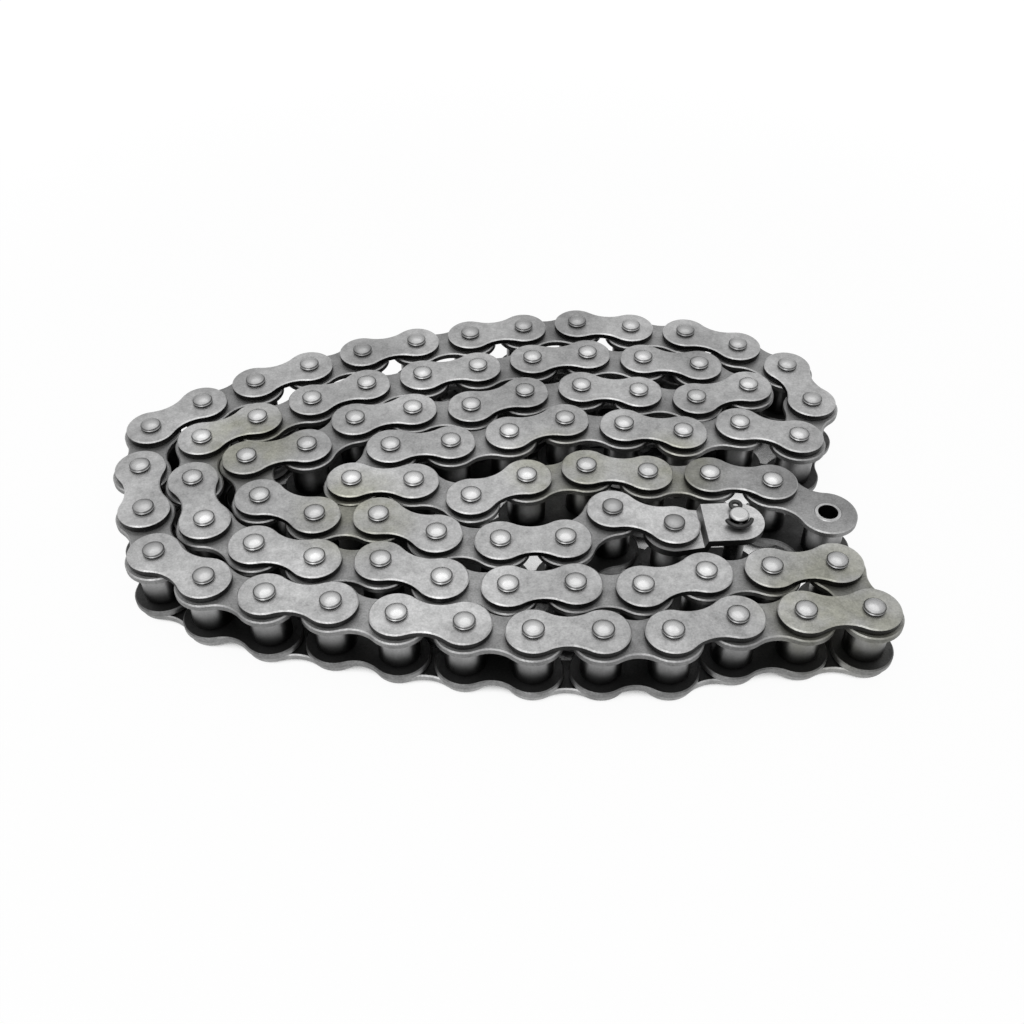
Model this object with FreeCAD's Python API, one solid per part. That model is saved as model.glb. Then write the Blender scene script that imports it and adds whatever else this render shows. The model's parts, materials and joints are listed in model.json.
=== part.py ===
import FreeCAD, Part
import math
import os

# A roller chain of half-inch pitch, laid flat in a loose coil with its pins upright.
# All sizes are in millimetres. +Z is up, X runs along the long side of the coil, and
# the origin is on the ground, under the middle of the coil.

# Sizes of the chain
pitch = 12.7
plate_thickness = 1.5
outer_plate_height = 10.4
outer_waist_height = 7.0
inner_waist_height = 8.2
plate_edge_break = 0.25
inner_width = 7.85
roller_diameter = 7.92
roller_edge_break = 0.35
bush_diameter = 5.5
bush_edge_break = 0.15
pin_diameter = 3.98
rivet_height = 0.95
rivet_spread = 0.1
rivet_flank = 0.3
rivet_tip_diameter = 3.1

# Clearances between the pieces
pin_to_bush = 0.04
bush_to_roller = 0.05
roller_end_gap = 0.1
bush_stand_out = 0.1
bush_to_outer_plate = 0.1
inner_end_gap = 0.9

# The offset link at one free end, with its removable pin and split pin
crank_share = 0.54
crank_clearance = 0.15
head_diameter = 5.4
connecting_pin_stand_out = 2.3
connecting_pin_rounding = 0.6
split_pin_diameter = 1.1
split_pin_leg_diameter = 0.9
split_pin_height = 1.05
split_pin_to_hole = 0.05
split_pin_to_pin = 0.08
split_pin_eye_radius = 0.95
split_pin_leg_sweep = 150.0

# Room between strands that lie side by side, and more round the links left free to swing
strand_gap = 0.2
swing_room = 1.2

# How the strands are settled: links are pulled back to their headings at first, less and less
outer_heading_pull = 0.04
inner_heading_pull = 0.012
holding_rounds = 600
settling_rounds = 1800
settled_within = 0.002

# Where each pin lies, in pitches from the middle of the coil, strand by strand along the chain.
# The first place is the open bush at one free end, and the last is the removable pin.
lay = [
    ("free_end", [
        (5.25, -1.35), (4.40, -0.75), (3.40, -0.50),
    ]),
    ("inner_strand", [
        (2.40, -0.35), (1.40, -0.30), (0.50, -0.55), (-0.40, -1.00), (-1.40, -0.70), (-2.35, -0.70),
        (-1.85, 0.10), (-0.85, 0.25), (0.10, 0.55), (1.10, 0.90), (2.10, 0.80), (3.05, 0.45),
        (4.10, 0.50),
    ]),
    ("rear_strand", [
        (5.00, 0.10), (5.40, 0.95), (5.05, 1.90), (4.45, 2.65), (3.60, 3.15), (2.60, 3.30), (1.60, 3.45),
        (0.60, 3.30), (-0.35, 3.10), (-1.30, 2.85), (-2.25, 2.50), (-3.15, 2.20), (-4.10, 1.85),
        (-4.95, 1.45), (-5.75, 0.85), (-5.75, -0.10), (-5.45, -1.10), (-5.05, -2.00),
    ]),
    ("front_strand", [
        (-4.15, -2.60), (-3.10, -2.90), (-2.10, -2.95), (-1.20, -3.30), (-0.20, -3.45), (0.85, -3.50),
        (1.85, -3.50), (2.80, -3.40), (3.80, -3.05), (4.75, -2.95), (5.75, -2.95),
    ]),
    ("second_strand", [
        (5.30, -2.05), (4.25, -2.15), (3.25, -2.30), (2.30, -2.65), (1.30, -2.65), (0.35, -2.70),
        (-0.70, -2.65), (-1.60, -2.30), (-2.60, -2.25), (-3.60, -2.10), (-4.50, -1.65), (-4.90, -0.70),
        (-4.95, 0.25), (-4.10, 0.75), (-3.20, 1.20), (-2.25, 1.55), (-1.35, 1.85), (-0.40, 2.10),
        (0.60, 2.35), (1.55, 2.40), (2.55, 2.20), (3.55, 2.00), (4.20, 1.25),
    ]),
    ("third_strand", [
        (3.25, 0.95), (2.40, 1.20), (1.40, 1.50), (0.45, 1.50), (-0.55, 1.20), (-1.50, 1.10),
        (-2.50, 0.85), (-3.35, 0.45), (-4.25, 0.05), (-3.85, -1.00), (-2.85, -1.35), (-1.85, -1.35),
        (-0.95, -1.65), (0.10, -1.80),
    ]),
    ("offset_end", [
        (1.05, -1.65), (1.85, -1.05), (2.80, -1.35), (3.85, -1.30),
    ]),
]

# Radii and levels that follow from the sizes above
outer_radius = outer_plate_height / 2
outer_waist = outer_waist_height / 2
inner_radius = (pitch - inner_end_gap) / 2
inner_waist = inner_waist_height / 2
pin_radius = pin_diameter / 2
bush_radius = bush_diameter / 2
bush_bore = pin_radius + pin_to_bush
roller_radius = roller_diameter / 2
roller_bore = bush_radius + bush_to_roller
plate_step = plate_thickness + bush_stand_out + bush_to_outer_plate
lower_outer = rivet_height
lower_inner = lower_outer + plate_step
upper_inner = lower_inner + plate_thickness + inner_width
upper_outer = upper_inner + plate_step
pin_top = upper_outer + plate_thickness + rivet_height
mid_height = (lower_outer + upper_outer + plate_thickness) / 2


def settle(pins, swinging):
    """Push strands that lie too close apart, with every link one pitch long and near its heading."""
    x = [p[0] * pitch for p in pins]
    y = [p[1] * pitch for p in pins]
    last = len(pins) - 1
    angles = [math.atan2(b[1] - a[1], b[0] - a[0]) for a, b in zip(pins, pins[1:])]
    aims = [(math.cos(angle) * pitch, math.sin(angle) * pitch) for angle in angles]
    spots = [((i,), inner_radius + (swing_room if i in swinging else 0)) for i in range(last + 1)]
    for i in range(0, last, 2):
        free = i in swinging or i + 1 in swinging
        spots.append(((i, i + 1), inner_radius + swing_room if free else inner_waist))

    def centre(spot):
        return sum(x[i] for i in spot) / len(spot), sum(y[i] for i in spot) / len(spot)

    def shift(spot, dx, dy):
        for i in spot:
            x[i] += dx
            y[i] += dy

    def neighbours():
        near = []
        for n, (a, ra) in enumerate(spots):
            ax, ay = centre(a)
            for b, rb in spots[n + 1:]:
                bx, by = centre(b)
                apart = min(abs(i - j) for i in a for j in b)
                if apart > 1 and math.hypot(bx - ax, by - ay) < ra + rb + pitch:
                    near.append((a, b, ra + rb + strand_gap))
        return near

    for turn in range(settling_rounds):
        if turn % 20 == 0:
            near = neighbours()
        worst = 0.0
        hold = max(0.0, 1 - turn / holding_rounds)
        for i, (aim_x, aim_y) in enumerate(aims):
            pull = hold * (outer_heading_pull if i % 2 else inner_heading_pull) / 2
            dx, dy = (aim_x - x[i + 1] + x[i]) * pull, (aim_y - y[i + 1] + y[i]) * pull
            shift((i,), -dx, -dy)
            shift((i + 1,), dx, dy)
        for a, b, need in near:
            (ax, ay), (bx, by) = centre(a), centre(b)
            gap = math.hypot(bx - ax, by - ay)
            if gap < need:
                give = (need - gap) / gap / (1 / len(a) + 1 / len(b))
                shift(a, -(bx - ax) * give / len(a), -(by - ay) * give / len(a))
                shift(b, (bx - ax) * give / len(b), (by - ay) * give / len(b))
                worst = max(worst, need - gap)
        for i in range(last):
            dx, dy = x[i + 1] - x[i], y[i + 1] - y[i]
            length = math.hypot(dx, dy)
            give = (length - pitch) / length / 2
            shift((i,), dx * give, dy * give)
            shift((i + 1,), -dx * give, -dy * give)
            worst = max(worst, abs(length - pitch))
        if worst < settled_within and not hold:
            break
    return [FreeCAD.Vector(a, b, 0) for a, b in zip(x, y)]


def walk(pins):
    """The same course with each link exactly one pitch long, centred on the origin."""
    path = [pins[0]]
    for a, b in zip(pins, pins[1:]):
        path.append(path[-1] + (b - a).normalize() * pitch)
    radii = [inner_radius] * (len(path) - 1) + [outer_radius]
    low_x = min(p.x - r for p, r in zip(path, radii))
    high_x = max(p.x + r for p, r in zip(path, radii))
    low_y = min(p.y - r for p, r in zip(path, radii))
    high_y = max(p.y + r for p, r in zip(path, radii))
    middle = FreeCAD.Vector((low_x + high_x) / 2, (low_y + high_y) / 2, 0)
    return [p - middle for p in path]


def arc(a, via, b):
    return Part.Arc(FreeCAD.Vector(*a, 0), FreeCAD.Vector(*via, 0), FreeCAD.Vector(*b, 0)).toShape()


def line(a, b):
    return Part.LineSegment(FreeCAD.Vector(*a, 0), FreeCAD.Vector(*b, 0)).toShape()


def upright(radius, x=0.0, low=0.0, high=1.0):
    """A round bar standing on z = low, as long as high - low."""
    return Part.makeCylinder(radius, high - low, FreeCAD.Vector(x, 0, low))


def link_plate(radius, waist, hole_radius):
    """A figure-of-eight plate, flat on z = 0, with its holes at x = 0 and x = pitch."""
    half = pitch / 2
    hollow = (half**2 + waist**2 - radius**2) / (2 * (radius - waist))
    share = radius / (radius + hollow)
    tx, ty = half * share, (waist + hollow) * share
    outline = Part.Wire([
        arc((tx, -ty), (-radius, 0), (tx, ty)),
        arc((tx, ty), (half, waist), (pitch - tx, ty)),
        arc((pitch - tx, ty), (pitch + radius, 0), (pitch - tx, -ty)),
        arc((pitch - tx, -ty), (half, -waist), (tx, -ty)),
    ])
    blank = Part.Face(outline).extrude(FreeCAD.Vector(0, 0, plate_thickness))
    rims = [e for e in blank.Edges if e.BoundBox.ZLength < plate_thickness / 2]
    blank = blank.makeChamfer(plate_edge_break, rims)
    for x in (0, pitch):
        blank = blank.cut(upright(hole_radius, x, 0, plate_thickness))
    return blank


def sleeve(radius, bore, low, high, edge_break):
    """A tube round the Z axis with broken outer edges."""
    points = [
        (bore, low), (radius - edge_break, low), (radius, low + edge_break),
        (radius, high - edge_break), (radius - edge_break, high), (bore, high),
    ]
    return turned(points)


def turned(points):
    """A solid turned round the Z axis from a closed outline of (radius, height) points."""
    corners = [FreeCAD.Vector(r, 0, z) for r, z in points + points[:1]]
    face = Part.Face(Part.makePolygon(corners))
    return face.revolve(FreeCAD.Vector(0, 0, 0), FreeCAD.Vector(0, 0, 1), 360)


def riveted_pin():
    """A pin whose two ends are spread over the outer plates."""
    spread = pin_radius + rivet_spread
    tip = rivet_tip_diameter / 2
    under, over = lower_outer, upper_outer + plate_thickness
    low, high = under - rivet_flank, over + rivet_flank
    return turned([
        (0, 0), (tip, 0), (spread, low), (spread, under), (pin_radius, under),
        (pin_radius, over), (spread, over), (spread, high), (tip, pin_top), (0, pin_top),
    ])


def bush():
    low = lower_inner - bush_stand_out
    high = upper_inner + plate_thickness + bush_stand_out
    return sleeve(bush_radius, bush_bore, low, high, bush_edge_break)


def roller():
    low = lower_inner + plate_thickness + roller_end_gap
    high = upper_inner - roller_end_gap
    return sleeve(roller_radius, roller_bore, low, high, roller_edge_break)


def offset_plate():
    """The upper cranked plate: its bushed end at x = 0 lies one plate lower than its pin end."""
    wide = outer_radius
    rise = plate_step
    top_foot = outer_radius + crank_clearance
    bottom_head = pitch - inner_radius - crank_clearance
    crank_run = (bottom_head - top_foot) * crank_share
    outline = Part.Wire([
        arc((0, -inner_radius), (-inner_radius, 0), (0, inner_radius)),
        line((0, inner_radius), (top_foot, wide)),
        line((top_foot, wide), (pitch, wide)),
        arc((pitch, wide), (pitch + wide, 0), (pitch, -wide)),
        line((pitch, -wide), (top_foot, -wide)),
        line((top_foot, -wide), (0, -inner_radius)),
    ])
    low, high = upper_inner, upper_inner + plate_thickness
    side = [
        (-pitch, low), (bottom_head - crank_run, low), (bottom_head, low + rise), (2 * pitch, low + rise),
        (2 * pitch, high + rise), (top_foot + crank_run, high + rise), (top_foot, high), (-pitch, high),
    ]
    corners = [FreeCAD.Vector(x, -pitch, z) for x, z in side + side[:1]]
    strip = Part.Face(Part.makePolygon(corners)).extrude(FreeCAD.Vector(0, 2 * pitch, 0))
    column = Part.Face(outline).extrude(FreeCAD.Vector(0, 0, pin_top))
    plate = column.common(strip)
    plate = plate.cut(upright(bush_radius, 0, 0, pin_top))
    return plate.cut(upright(pin_radius, pitch, 0, pin_top)).Solids[0]


def connecting_pin():
    """The removable pin: a head under the lower plate, and a long upper end drilled for a split pin."""
    head = head_diameter / 2
    over = upper_outer + plate_thickness
    top = over + connecting_pin_stand_out
    bevel = lower_outer - rivet_flank
    body = turned([
        (0, 0), (head - bevel, 0), (head, bevel), (head, lower_outer), (pin_radius, lower_outer),
        (pin_radius, top), (0, top),
    ])
    rim = [e for e in body.Edges if e.BoundBox.ZMin > over and e.BoundBox.YLength > pin_radius]
    body = body.makeFillet(connecting_pin_rounding, rim)
    hole_radius = split_pin_diameter / 2 + split_pin_to_hole
    middle = FreeCAD.Vector(0, -head_diameter, over + split_pin_height)
    hole = Part.makeCylinder(hole_radius, 2 * head_diameter, middle, FreeCAD.Vector(0, 1, 0))
    return body.cut(hole)


def split_pin():
    """A split pin through the connecting pin: eye to the rear, legs bent round the pin's front."""
    leg_radius = split_pin_leg_diameter / 2
    bend = pin_radius + split_pin_to_pin + leg_radius
    height = upper_outer + plate_thickness + split_pin_height
    centre = FreeCAD.Vector(0, 0, height)
    up = FreeCAD.Vector(0, 0, 1)
    front = FreeCAD.Vector(0, -bend, height)
    shank = Part.makeCylinder(split_pin_diameter / 2, 2 * bend, front, FreeCAD.Vector(0, 1, 0))
    eye_centre = FreeCAD.Vector(0, bend + split_pin_eye_radius, height)
    eye = Part.makeTorus(split_pin_eye_radius, leg_radius, eye_centre, up)
    legs = Part.makeTorus(bend, leg_radius, centre, up, 0, 360, split_pin_leg_sweep)
    legs.rotate(centre, up, -90 - split_pin_leg_sweep / 2)
    return shank.fuse([eye, legs]).removeSplitter().Solids[0]


def placed(shape, pin, heading=0.0, height=0.0):
    """A copy of a shape drawn at the origin, turned to a heading and set on a pin's place."""
    spin = FreeCAD.Rotation(FreeCAD.Vector(0, 0, 1), math.degrees(heading))
    spot = FreeCAD.Vector(pin.x, pin.y, height)
    return shape.transformed(FreeCAD.Placement(spot, spin).toMatrix())


strand_of = [name for name, places in lay for _ in places]
places = [place for _, group in lay for place in group]
open_end = 0
connecting_place = len(places) - 1
offset_link = connecting_place - 1
swinging = [0, 1, 2, offset_link - 1, offset_link, connecting_place]
pins = walk(settle(places, swinging))
headings = [math.atan2(b.y - a.y, b.x - a.x) for a, b in zip(pins, pins[1:])]

# The links that swing on their own, by the number of the place where each starts
live_links = {
    open_end: "open_inner_link",
    open_end + 1: "end_outer_link",
    open_end + 2: "second_inner_link",
    offset_link - 2: "last_inner_link",
    offset_link - 1: "last_outer_link",
}
# Rollers that turn on their own: those on the live links and along the front strand
live_rollers = [0, 1, 2, 3, offset_link - 2, offset_link - 1]
front_rollers = [i for i, name in enumerate(strand_of) if name == "front_strand"]

outer_plate = link_plate(outer_radius, outer_waist, pin_radius)
inner_plate = link_plate(inner_radius, inner_waist, bush_radius)
one_pin = riveted_pin()
one_bush = bush()
one_roller = roller()

nodes = {}


def add(node, shape):
    nodes.setdefault(node, []).append(shape)


def root_name(i):
    """The strand that a link or roller at place i is kept with."""
    return {"free_end": "inner_strand", "offset_end": "third_strand"}.get(strand_of[i], strand_of[i])


for i in range(offset_link):
    owner = live_links.get(i, root_name(i))
    if i % 2:
        for height in (lower_outer, upper_outer):
            add(owner + "_outer_plates", placed(outer_plate, pins[i], headings[i], height))
        for end in (i, i + 1):
            add(owner + "_pins", placed(one_pin, pins[end]))
        continue
    for height in (lower_inner, upper_inner):
        add(owner + "_inner_plates", placed(inner_plate, pins[i], headings[i], height))
    for end in (i, i + 1):
        bush_node = "open_end_bush" if end == open_end else owner + "_bushes"
        add(bush_node, placed(one_bush, pins[end]))
        if end in live_rollers:
            add("end_roller_%02d" % (live_rollers.index(end) + 1), placed(one_roller, pins[end]))
        elif end in front_rollers:
            add("front_roller_%02d" % (front_rollers.index(end) + 1), placed(one_roller, pins[end]))
        else:
            add(root_name(end) + "_rollers", placed(one_roller, pins[end]))

start, heading = pins[offset_link], headings[offset_link]
upper_plate = offset_plate()
mirror = FreeCAD.Vector(0, 0, 1)
lower_plate = upper_plate.mirror(FreeCAD.Vector(0, 0, mid_height), mirror)
add("offset_plate_upper", placed(upper_plate, start, heading))
add("offset_plate_lower", placed(lower_plate, start, heading))
add("offset_link_bush", placed(one_bush, start))
add("offset_link_roller", placed(one_roller, start))
add("connecting_pin", placed(connecting_pin(), pins[-1], heading))
add("split_pin", placed(split_pin(), pins[-1], heading))

os.makedirs("parts", exist_ok=True)
for node, solids in nodes.items():
    Part.makeCompound(solids).exportStep("parts/" + node + ".step")
print(len(nodes), "nodes,", sum(len(s) for s in nodes.values()), "solids")
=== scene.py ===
import json
import math

import bmesh
import bpy
from mathutils import Matrix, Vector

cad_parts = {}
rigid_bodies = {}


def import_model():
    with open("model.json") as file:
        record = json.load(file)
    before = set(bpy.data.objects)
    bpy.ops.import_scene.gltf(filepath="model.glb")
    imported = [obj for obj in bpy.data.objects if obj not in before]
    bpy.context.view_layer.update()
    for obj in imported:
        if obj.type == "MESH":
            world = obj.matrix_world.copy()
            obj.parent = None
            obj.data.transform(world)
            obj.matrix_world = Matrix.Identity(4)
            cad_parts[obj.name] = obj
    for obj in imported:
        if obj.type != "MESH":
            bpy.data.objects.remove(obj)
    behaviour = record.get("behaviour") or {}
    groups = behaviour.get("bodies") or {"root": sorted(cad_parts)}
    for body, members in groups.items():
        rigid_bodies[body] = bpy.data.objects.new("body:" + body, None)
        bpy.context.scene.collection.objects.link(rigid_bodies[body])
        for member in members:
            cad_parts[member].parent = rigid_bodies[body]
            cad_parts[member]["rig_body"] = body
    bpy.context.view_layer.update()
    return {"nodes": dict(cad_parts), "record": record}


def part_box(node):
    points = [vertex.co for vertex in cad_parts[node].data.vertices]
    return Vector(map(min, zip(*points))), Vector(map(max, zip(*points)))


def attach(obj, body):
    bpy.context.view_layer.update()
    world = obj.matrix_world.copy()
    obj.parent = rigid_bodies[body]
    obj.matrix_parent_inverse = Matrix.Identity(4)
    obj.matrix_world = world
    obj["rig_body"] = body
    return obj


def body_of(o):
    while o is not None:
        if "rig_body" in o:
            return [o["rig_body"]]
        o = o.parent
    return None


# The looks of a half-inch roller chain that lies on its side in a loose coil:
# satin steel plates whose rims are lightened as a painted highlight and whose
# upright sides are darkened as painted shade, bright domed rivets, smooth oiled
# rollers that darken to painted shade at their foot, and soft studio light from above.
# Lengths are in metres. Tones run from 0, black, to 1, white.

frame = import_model()


def add_node(tree, kind, **settings):
    """A shader node with its properties set."""
    made = tree.nodes.new(kind)
    for name, value in settings.items():
        setattr(made, name, value)
    return made


def join(tree, *pairs):
    """Links given as (output, input) pairs."""
    for output, target in pairs:
        tree.links.new(output, target)


def remap(tree, low=0.0, high=1.0, to_low=0.0, to_high=1.0, kind="LINEAR"):
    """A node that takes values from low to high over to those from to_low to to_high."""
    made = add_node(tree, "ShaderNodeMapRange", interpolation_type=kind)
    made.inputs["From Min"].default_value = low
    made.inputs["From Max"].default_value = high
    made.inputs["To Min"].default_value = to_low
    made.inputs["To Max"].default_value = to_high
    return made


def add_noise(tree, detail, roughness=0.5, per_metre=5.0):
    """A noise texture with about per_metre blotches in a metre."""
    made = add_node(tree, "ShaderNodeTexNoise")
    made.inputs["Scale"].default_value = per_metre
    made.inputs["Detail"].default_value = detail
    made.inputs["Roughness"].default_value = roughness
    return made


def new_group(name, inputs, outputs):
    """A shader node group with named sockets, its input node and its output node."""
    group = bpy.data.node_groups.new(name, "ShaderNodeTree")
    for label, kind, value in inputs:
        socket = group.interface.new_socket(label, in_out="INPUT", socket_type=kind)
        socket.default_value = value
    for label, kind in outputs:
        group.interface.new_socket(label, in_out="OUTPUT", socket_type=kind)
    return group, group.nodes.new("NodeGroupInput"), group.nodes.new("NodeGroupOutput")


def place_group(tree, group, **values):
    """One use of a shared group, with its own values."""
    made = add_node(tree, "ShaderNodeGroup", node_tree=group)
    for label, value in values.items():
        made.inputs[label].default_value = value
    return made


def mix_colours(tree, share, first, second, blend="MIX"):
    """A colour mix; share, first and second are each a socket or a plain value."""
    made = add_node(tree, "ShaderNodeMix", data_type="RGBA", blend_type=blend)
    share_socket, first_socket, second_socket, mixed = 0, 6, 7, 2
    for index, part in ((share_socket, share), (first_socket, first), (second_socket, second)):
        if isinstance(part, bpy.types.NodeSocket):
            tree.links.new(part, made.inputs[index])
        else:
            made.inputs[index].default_value = part
    return made.outputs[mixed]


def grey(tone):
    """A neutral colour."""
    return (tone, tone, tone, 1)


# The drift's noise is read away from the origin, at a place where its light and
# dark patches fall on the links that are light and dark in the photo. Each spread
# is the part of a noise's values that is stretched over the whole of its range.
drift_place = (1.58, 0.08, 1.78)
drift_per_metre = 50.0
drift_spread = (0.3, 0.7)
drift_darkest = 0.78
drift_lightest = 1.21
mottle_spread = (0.34, 0.66)


def build_steel_mottle():
    """Mottling of tumbled steel: a fine tone, a slow drift from link to link, and a height for bump."""
    group, start, end = new_group(
        "steel_mottle",
        [("Grain Per Metre", "NodeSocketFloat", 2600.0), ("Cloud Per Metre", "NodeSocketFloat", 420.0)],
        [("Tone", "NodeSocketFloat"), ("Drift", "NodeSocketFloat"), ("Height", "NodeSocketFloat")])
    place = add_node(group, "ShaderNodeTexCoord")
    moved = add_node(group, "ShaderNodeVectorMath", operation="ADD")
    moved.inputs[1].default_value = drift_place
    slow = add_noise(group, detail=1.0, per_metre=drift_per_metre)
    drift = remap(group, *drift_spread, drift_darkest, drift_lightest)
    grain = add_noise(group, detail=3.0, roughness=0.65)
    cloud = add_noise(group, detail=4.0, roughness=0.6)
    both = add_node(group, "ShaderNodeMix", data_type="FLOAT")
    both.inputs["Factor"].default_value = 0.5
    spread = remap(group, *mottle_spread)
    join(group,
         (place.outputs["Object"], grain.inputs["Vector"]),
         (place.outputs["Object"], cloud.inputs["Vector"]),
         (place.outputs["Object"], moved.inputs[0]),
         (moved.outputs[0], slow.inputs["Vector"]),
         (slow.outputs[0], drift.inputs["Value"]),
         (drift.outputs[0], end.inputs["Drift"]),
         (start.outputs["Grain Per Metre"], grain.inputs["Scale"]),
         (start.outputs["Cloud Per Metre"], cloud.inputs["Scale"]),
         (grain.outputs[0], both.inputs["A"]),
         (cloud.outputs[0], both.inputs["B"]),
         (both.outputs[0], spread.inputs["Value"]),
         (spread.outputs[0], end.inputs["Tone"]),
         (grain.outputs[0], end.inputs["Height"]))
    return group


# How much a normal points up or down, from 0 to 1, where a mask starts and where
# it is full.
flat_normal = (0.85, 0.97)
side_normal = (0.45, 0.15)


def build_edge_zones():
    """Masks for a plate or pin whose faces lie level: broken rims, upright sides, and faces that look up."""
    group, _, end = new_group(
        "edge_zones", [],
        [("Rim", "NodeSocketFloat"), ("Side", "NodeSocketFloat"), ("Up", "NodeSocketFloat")])
    surface = add_node(group, "ShaderNodeNewGeometry")
    split = add_node(group, "ShaderNodeSeparateXYZ")
    steep = add_node(group, "ShaderNodeMath", operation="ABSOLUTE")
    flat = remap(group, *flat_normal, kind="SMOOTHSTEP")
    side = remap(group, *side_normal, kind="SMOOTHSTEP")
    up = remap(group, *flat_normal, kind="SMOOTHSTEP")
    covered = add_node(group, "ShaderNodeMath", operation="ADD")
    rim = add_node(group, "ShaderNodeMath", operation="SUBTRACT", use_clamp=True)
    rim.inputs[0].default_value = 1.0
    join(group,
         (surface.outputs["True Normal"], split.inputs[0]),
         (split.outputs["Z"], steep.inputs[0]),
         (split.outputs["Z"], up.inputs["Value"]),
         (steep.outputs[0], flat.inputs["Value"]),
         (steep.outputs[0], side.inputs["Value"]),
         (flat.outputs[0], covered.inputs[0]),
         (side.outputs[0], covered.inputs[1]),
         (covered.outputs[0], rim.inputs[1]),
         (rim.outputs[0], end.inputs["Rim"]),
         (side.outputs[0], end.inputs["Side"]),
         (up.outputs[0], end.inputs["Up"]))
    return group


# A finish has its low tones below the first of these heights and its own tones
# above the second: near the floor the sides and rims carry painted light and
# shade, and faces that look up are dark with oily grime and painted shade.
low_tones_to = 0.005
own_tones_from = 0.007


def build_height_share():
    """A share that rises from 0 to 1 between two heights above the ground."""
    group, start, end = new_group(
        "height_share",
        [("Low", "NodeSocketFloat", low_tones_to), ("High", "NodeSocketFloat", own_tones_from)],
        [("Share", "NodeSocketFloat")])
    place = add_node(group, "ShaderNodeTexCoord")
    split = add_node(group, "ShaderNodeSeparateXYZ")
    rise = remap(group, kind="SMOOTHSTEP")
    join(group,
         (place.outputs["Object"], split.inputs[0]),
         (split.outputs["Z"], rise.inputs["Value"]),
         (start.outputs["Low"], rise.inputs["From Min"]),
         (start.outputs["High"], rise.inputs["From Max"]),
         (rise.outputs[0], end.inputs["Share"]))
    return group


# Spots where old oil has dried on the plates: their places and radii. The film is
# full in the core of a spot, a share of its radius, and noise thins it in patches.
plate_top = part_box("front_strand_outer_plates")[1][2]
oil_spots = (
    ((-0.0260, -0.0166, plate_top), 0.015),
    ((0.0151, -0.0026, plate_top), 0.014),
    ((0.0378, -0.0035, plate_top), 0.014),
    ((-0.0502, 0.0051, plate_top), 0.014),
    ((0.0660, -0.0392, plate_top), 0.020),
)
spot_core = 0.4
film_spread = (0.35, 0.6)
film_thinnest = 0.35


def build_oil_film():
    """Faint olive film where old oil has dried, round a few spots and with ragged edges."""
    group, start, end = new_group(
        "oil_film",
        [("Amount", "NodeSocketFloat", 0.6)],
        [("Film", "NodeSocketFloat")])
    place = add_node(group, "ShaderNodeTexCoord")
    ragged = add_noise(group, detail=3.0, per_metre=160.0)
    total = None
    for spot, radius in oil_spots:
        away = add_node(group, "ShaderNodeVectorMath", operation="DISTANCE")
        away.inputs[1].default_value = spot
        near = remap(group, radius, radius * spot_core, kind="SMOOTHSTEP")
        join(group, (place.outputs["Object"], away.inputs[0]), (away.outputs["Value"], near.inputs["Value"]))
        if total is None:
            total = near.outputs[0]
        else:
            most = add_node(group, "ShaderNodeMath", operation="MAXIMUM")
            join(group, (total, most.inputs[0]), (near.outputs[0], most.inputs[1]))
            total = most.outputs[0]
    limit = remap(group, *film_spread, to_low=film_thinnest)
    share = add_node(group, "ShaderNodeMath", operation="MULTIPLY")
    scaled = add_node(group, "ShaderNodeMath", operation="MULTIPLY")
    join(group,
         (place.outputs["Object"], ragged.inputs["Vector"]),
         (ragged.outputs[0], limit.inputs["Value"]),
         (limit.outputs[0], share.inputs[0]),
         (total, share.inputs[1]),
         (share.outputs[0], scaled.inputs[0]),
         (start.outputs["Amount"], scaled.inputs[1]),
         (scaled.outputs[0], end.inputs["Film"]))
    return group


steel_mottle = build_steel_mottle()
edge_zones = build_edge_zones()
height_share = build_height_share()
oil_film = build_oil_film()

# Faces that look up near the floor: oily grime and painted shade between the plates.
grime_and_shade_tone = 0.065
# Painted shade at the foot of the rollers, under the plates.
roller_foot_shade = 0.035
olive_tint = (0.86, 0.86, 0.75, 1)
# How much rougher than its finish the steel is where the mottling is darkest, and
# how much smoother where it is lightest.
rougher = 0.08
smoother = 0.06
grain_height = 0.00003


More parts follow.
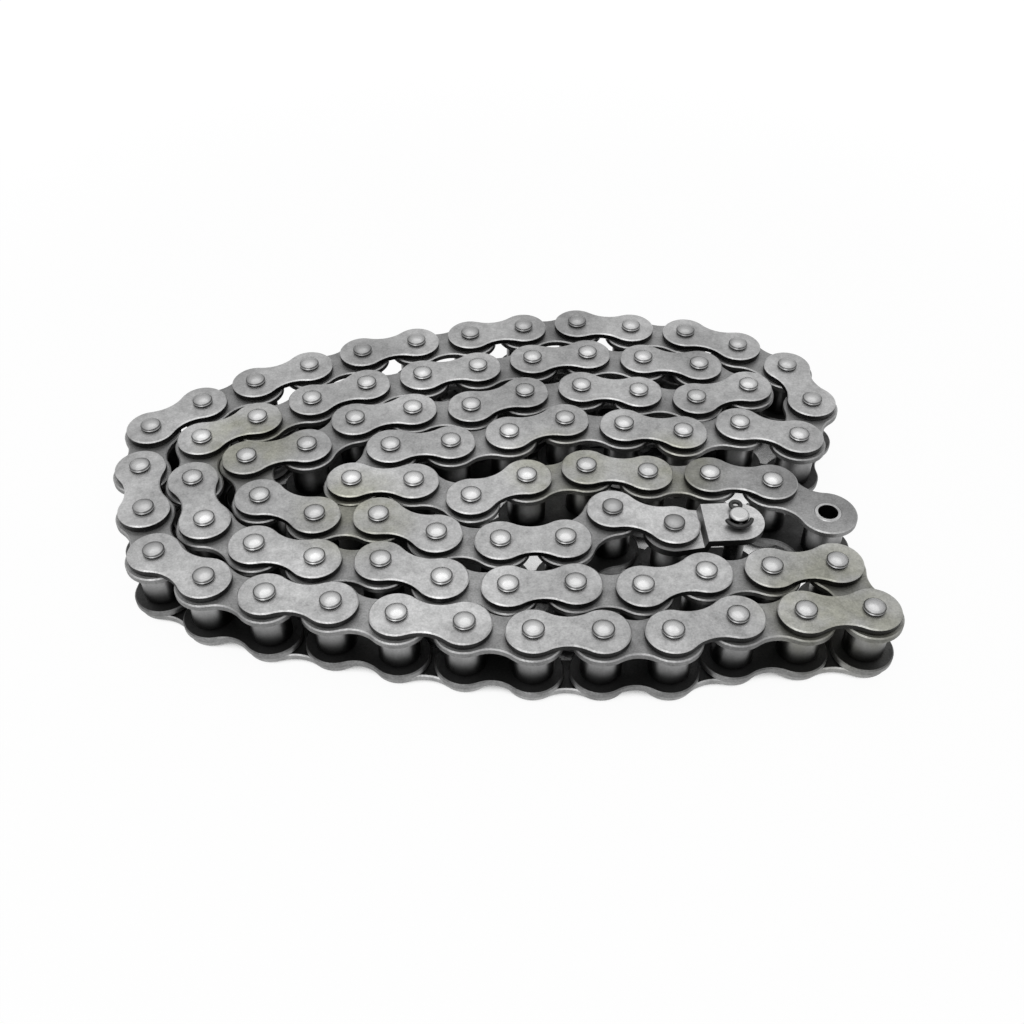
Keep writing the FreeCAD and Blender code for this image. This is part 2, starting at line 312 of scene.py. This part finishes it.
def steel(name, face, rim, side, rough, low_side=0.28, low_rim=0.35,
          mottle=0.26, film=1.0, bump=0.3, fade=None):
    """A steel finish with its own tones for flat faces, rims and upright sides.

    Near the floor, sides and rims take the low tones, painted light and shade that change with height, and
    faces that look up are dark with oily grime and painted shade.
    mottle is the share by which the tone varies, and film the strength of the oil film.
    fade is the two heights between which the tone rises from a painted shade to its own.
    """
    material = bpy.data.materials.new(name)
    material.use_nodes = True
    tree = material.node_tree
    shader = tree.nodes["Principled BSDF"]
    shader.inputs["Metallic"].default_value = 1.0
    zones = place_group(tree, edge_zones)
    spots = place_group(tree, steel_mottle)
    patches = place_group(tree, oil_film, Amount=film)
    raised = place_group(tree, height_share)
    # Painted light and shade near the floor, with oily grime and painted shade on faces that look up.
    low_tone = mix_colours(tree, zones.outputs["Up"], grey(low_side), grey(grime_and_shade_tone))
    low_tone = mix_colours(tree, zones.outputs["Rim"], low_tone, grey(low_rim))
    high_tone = mix_colours(tree, zones.outputs["Rim"], grey(face), grey(rim))
    high_tone = mix_colours(tree, zones.outputs["Side"], high_tone, grey(side))
    tone = mix_colours(tree, raised.outputs["Share"], low_tone, high_tone)
    # Painted shade: darker towards the foot, for the rollers.
    if fade:
        foot_shade = place_group(tree, height_share, Low=fade[0], High=fade[1])
        tone = mix_colours(tree, foot_shade.outputs["Share"], grey(roller_foot_shade), tone)
    tone = mix_colours(tree, patches.outputs["Film"], tone, olive_tint, "MULTIPLY")
    varied = remap(tree, to_low=1 - mottle, to_high=1 + mottle)
    drifted = add_node(tree, "ShaderNodeMath", operation="MULTIPLY")
    level = add_node(tree, "ShaderNodeCombineColor")
    tone = mix_colours(tree, 1.0, tone, level.outputs[0], "MULTIPLY")
    dull = remap(tree, to_low=rough + rougher, to_high=rough - smoother)
    grain_bump = add_node(tree, "ShaderNodeBump")
    grain_bump.inputs["Strength"].default_value = bump
    grain_bump.inputs["Distance"].default_value = grain_height
    join(tree,
         (spots.outputs["Tone"], varied.inputs["Value"]),
         (varied.outputs[0], drifted.inputs[0]),
         (spots.outputs["Drift"], drifted.inputs[1]),
         (drifted.outputs[0], level.inputs["Red"]),
         (drifted.outputs[0], level.inputs["Green"]),
         (drifted.outputs[0], level.inputs["Blue"]),
         (spots.outputs["Tone"], dull.inputs["Value"]),
         (spots.outputs["Height"], grain_bump.inputs["Height"]),
         (grain_bump.outputs[0], shader.inputs["Normal"]),
         (dull.outputs[0], shader.inputs["Roughness"]),
         (tone, shader.inputs["Base Color"]))
    return material


# Rims lighter than the faces are a painted highlight where edges catch the light, a pin's darker rim is
# painted shade on its flank, and the near black upright sides are painted shade along the edges.
finishes = {
    "outer_plate": steel(
        "rolled_plate_steel", face=0.38, rim=0.50, side=0.03, rough=0.46, low_side=0.30, low_rim=0.40),
    "inner_plate": steel(
        "inner_plate_steel", face=0.25, rim=0.38, side=0.22, rough=0.48, low_side=0.24, low_rim=0.16),
    "offset_plate": steel(
        "offset_plate_steel", face=0.46, rim=0.54, side=0.06, rough=0.44, film=0.3),
    "pin": steel(
        "riveted_pin_steel", face=0.54, rim=0.36, side=0.03, rough=0.26, low_side=0.03, low_rim=0.03,
        mottle=0.1, film=0, bump=0.1),
    "bush": steel(
        "bush_steel", face=0.40, rim=0.40, side=0.05, rough=0.40, low_side=0.05),
    "roller": steel(
        "roller_steel", face=0.26, rim=0.30, side=0.27, rough=0.34,
        mottle=0.12, bump=0.12, fade=(0.0060, 0.0102)),
    "split_pin": steel(
        "split_pin_wire", face=0.06, rim=0.06, side=0.05, rough=0.40, film=0),
}
# Nodes that are lighter, darker or duller in the photo than others of their kind.
own_finishes = {
    # The front strand's outer plates are a slightly lighter copy, partly painted light from the front.
    "front_strand_outer_plates": steel(
        "front_plate_lit_steel", face=0.40, rim=0.52, side=0.03, rough=0.46, low_side=0.30, low_rim=0.40),
    "end_outer_link_outer_plates": steel(
        "end_plate_steel", face=0.24, rim=0.42, side=0.03, rough=0.48),
    "last_outer_link_outer_plates": steel(
        "last_plate_steel", face=0.42, rim=0.52, side=0.03, rough=0.46, film=0),
    "last_outer_link_pins": steel(
        "dull_pin_steel", face=0.32, rim=0.22, side=0.03, rough=0.36, low_side=0.03, mottle=0.1, film=0),
    "rear_strand_pins": steel(
        "rear_pin_steel", face=0.41, rim=0.28, side=0.03, rough=0.30, low_side=0.03,
        mottle=0.1, film=0, bump=0.1),
    "connecting_pin": steel(
        "connecting_pin_steel", face=0.55, rim=0.48, side=0.03, rough=0.28, low_side=0.03,
        mottle=0.1, film=0),
}
slot_of = {part["node"]: part["material_slot"] for part in frame["record"]["subparts"]}


def finish_of(node_name):
    """A node's own finish, or else that of its material slot."""
    return own_finishes.get(node_name, finishes[slot_of[node_name]])


for node_name, piece in frame["nodes"].items():
    for slot in piece.material_slots:
        slot.material = finish_of(node_name)

crown_radius = 0.00212
crown_rise = 0.00065
crown_sides = 32
crown_rings = 6
# The height of the sloping edge round a rivet's flat tip, and a length that is more
# than a tip's width and less than the way to the next tip.
rivet_flank = 0.0003
rivet_reach = 0.0035


def pin_tips(pins, top):
    """The middle of each pin's flat tip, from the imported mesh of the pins."""
    tips = []
    for vertex in pins.data.vertices:
        if vertex.co.z < top - rivet_flank / 2:
            continue
        for tip in tips:
            if (tip[0] - vertex.co).length < rivet_reach:
                tip.append(vertex.co)
                break
        else:
            tips.append([vertex.co])
    return [tuple((min(point[axis] for point in tip) + max(point[axis] for point in tip)) / 2
                  for axis in (0, 1)) for tip in tips]


def crown_the_pins(node_name):
    """Domed crowns on the riveted ends of a strand's pins, as the riveting hammer leaves them."""
    pins = frame["nodes"][node_name]
    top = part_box(node_name)[1][2]
    base = top - rivet_flank
    sphere = (crown_radius ** 2 + crown_rise ** 2) / (2 * crown_rise)
    slope = math.asin(crown_radius / sphere)
    turns = [math.tau * side / crown_sides for side in range(crown_sides)]
    shape = bmesh.new()
    for x, y in pin_tips(pins, top):
        rings = []
        for ring in range(crown_rings):
            lean = slope * (1 - ring / crown_rings)
            reach = sphere * math.sin(lean)
            height = base + sphere * (math.cos(lean) - math.cos(slope))
            rings.append([shape.verts.new((x + reach * math.cos(turn), y + reach * math.sin(turn), height))
                          for turn in turns])
        pole = shape.verts.new((x, y, base + crown_rise))
        shape.faces.new(reversed(rings[0]))
        for side in range(crown_sides):
            after = (side + 1) % crown_sides
            for low, high in zip(rings, rings[1:]):
                shape.faces.new((low[side], low[after], high[after], high[side])).smooth = True
            shape.faces.new((rings[-1][side], rings[-1][after], pole)).smooth = True
    mesh = bpy.data.meshes.new(node_name + "_crowns")
    shape.to_mesh(mesh)
    shape.free()
    crowns = bpy.data.objects.new(node_name + "_crowns", mesh)
    bpy.context.collection.objects.link(crowns)
    mesh.materials.append(finish_of(node_name))
    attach(crowns, body_of(pins)[0])


for node_name in frame["nodes"]:
    if node_name.endswith("_pins"):
        crown_the_pins(node_name)

floor_size = 4.0
floor_drop = 0.00002
floor_tone = 0.82
# The eye sees the floor as plain white far out, and near the chain as a blend of
# that white and the lit floor: distances from the middle, and the white's share.
near_chain = 0.12
far_out = 0.40
white_near_chain = 0.90
# Under the chain and close beside it the white darkens with the share of the sky
# that is open within shade_reach, from its full strength down to black.
shade_reach = 0.03
open_where_black = 0.07
open_where_full = 0.28
full_white = 1.05


def lay_floor():
    """A plain pale floor that shows white to the camera and keeps the chain's soft shadow."""
    bpy.ops.mesh.primitive_plane_add(size=floor_size, location=(0, 0, -floor_drop))
    floor = bpy.context.object
    floor.name = "studio_floor"
    material = bpy.data.materials.new("pale_floor")
    material.use_nodes = True
    tree = material.node_tree
    shader = tree.nodes["Principled BSDF"]
    shader.inputs["Base Color"].default_value = grey(floor_tone)
    shader.inputs["Roughness"].default_value = 0.9
    shader.inputs["Specular IOR Level"].default_value = 0.1
    white = add_node(tree, "ShaderNodeEmission")
    path = add_node(tree, "ShaderNodeLightPath")
    seen = add_node(tree, "ShaderNodeMath", operation="MAXIMUM")
    share = add_node(tree, "ShaderNodeMath", operation="MULTIPLY")
    place = add_node(tree, "ShaderNodeTexCoord")
    away = add_node(tree, "ShaderNodeVectorMath", operation="LENGTH")
    even = remap(tree, near_chain, far_out, to_low=white_near_chain, kind="SMOOTHSTEP")
    blend = add_node(tree, "ShaderNodeMixShader")
    openness = add_node(tree, "ShaderNodeAmbientOcclusion", samples=16)
    openness.inputs["Distance"].default_value = shade_reach
    clear = remap(tree, open_where_black, open_where_full, to_high=full_white, kind="SMOOTHSTEP")
    join(tree,
         (openness.outputs["AO"], clear.inputs["Value"]),
         (clear.outputs[0], white.inputs["Strength"]),
         (path.outputs["Is Camera Ray"], seen.inputs[0]),
         (path.outputs["Is Glossy Ray"], seen.inputs[1]),
         (place.outputs["Object"], away.inputs[0]),
         (away.outputs["Value"], even.inputs["Value"]),
         (even.outputs[0], share.inputs[1]),
         (seen.outputs[0], share.inputs[0]),
         (share.outputs[0], blend.inputs[0]),
         (shader.outputs[0], blend.inputs[1]),
         (white.outputs[0], blend.inputs[2]),
         (blend.outputs[0], tree.nodes["Material Output"].inputs["Surface"]))
    floor.data.materials.append(material)


def hang_lamp(name, place, size, watts):
    """A round soft lamp that shines at the middle of the chain."""
    lamp = bpy.data.lights.new(name, "AREA")
    lamp.shape = "DISK"
    lamp.size = size
    lamp.energy = watts
    holder = bpy.data.objects.new(name, lamp)
    bpy.context.collection.objects.link(holder)
    holder.location = place
    holder.rotation_euler = holder.location.to_track_quat("Z", "Y").to_euler()


# Gloss sees a room whose walls are a light grey at the floor and white from some
# way up, given as the upward part of the direction. The room's other light is a
# dim fill, and the eye sees plain white.
wall_tone = 0.58
white_above = 0.65
fill_tone = 0.25


def light_the_studio():
    """White surroundings for the eye and for gloss, a dimmer fill for everything else, and two lamps."""
    world = bpy.data.worlds.new("studio")
    bpy.context.scene.world = world
    world.use_nodes = True
    tree = world.node_tree
    background = tree.nodes["Background"]
    path = add_node(tree, "ShaderNodeLightPath")
    direction = add_node(tree, "ShaderNodeTexCoord")
    split = add_node(tree, "ShaderNodeSeparateXYZ")
    height = remap(tree, high=white_above, kind="SMOOTHSTEP")
    sky = mix_colours(tree, height.outputs[0], grey(wall_tone), grey(1.0))
    glossy = mix_colours(tree, path.outputs["Is Glossy Ray"], grey(fill_tone), sky)
    clear = add_node(tree, "ShaderNodeMath", operation="MAXIMUM")
    seen = mix_colours(tree, clear.outputs[0], glossy, grey(1.0))
    join(tree,
         (direction.outputs["Generated"], split.inputs[0]),
         (split.outputs["Z"], height.inputs["Value"]),
         (path.outputs["Is Camera Ray"], clear.inputs[0]),
         (path.outputs["Is Transmission Ray"], clear.inputs[1]),
         (seen, background.inputs["Color"]))
    hang_lamp("overhead_softbox", place=(0.0, 0.05, 0.60), size=0.80, watts=1.0)
    hang_lamp("front_fill", place=(-0.20, -0.50, 0.45), size=0.50, watts=0.9)


camera_place = (0.00517, -0.1923, 0.18796)
degrees_up = 44.5
degrees_of_roll = 0.075


def set_camera():
    """The photograph's view: from the front, a little under half way up to overhead."""
    lens = bpy.data.cameras.new("camera")
    lens.sensor_width = 36.0
    lens.lens = 43.58
    lens.clip_start = 0.01
    camera = bpy.data.objects.new("camera", lens)
    bpy.context.collection.objects.link(camera)
    tilt = Matrix.Rotation(math.radians(90 - degrees_up), 4, "X")
    roll = Matrix.Rotation(math.radians(degrees_of_roll), 4, "Z")
    camera.matrix_world = Matrix.Translation(camera_place) @ tilt @ roll
    bpy.context.scene.camera = camera


lay_floor()
light_the_studio()
set_camera()
bpy.context.scene.view_settings.view_transform = "Standard"
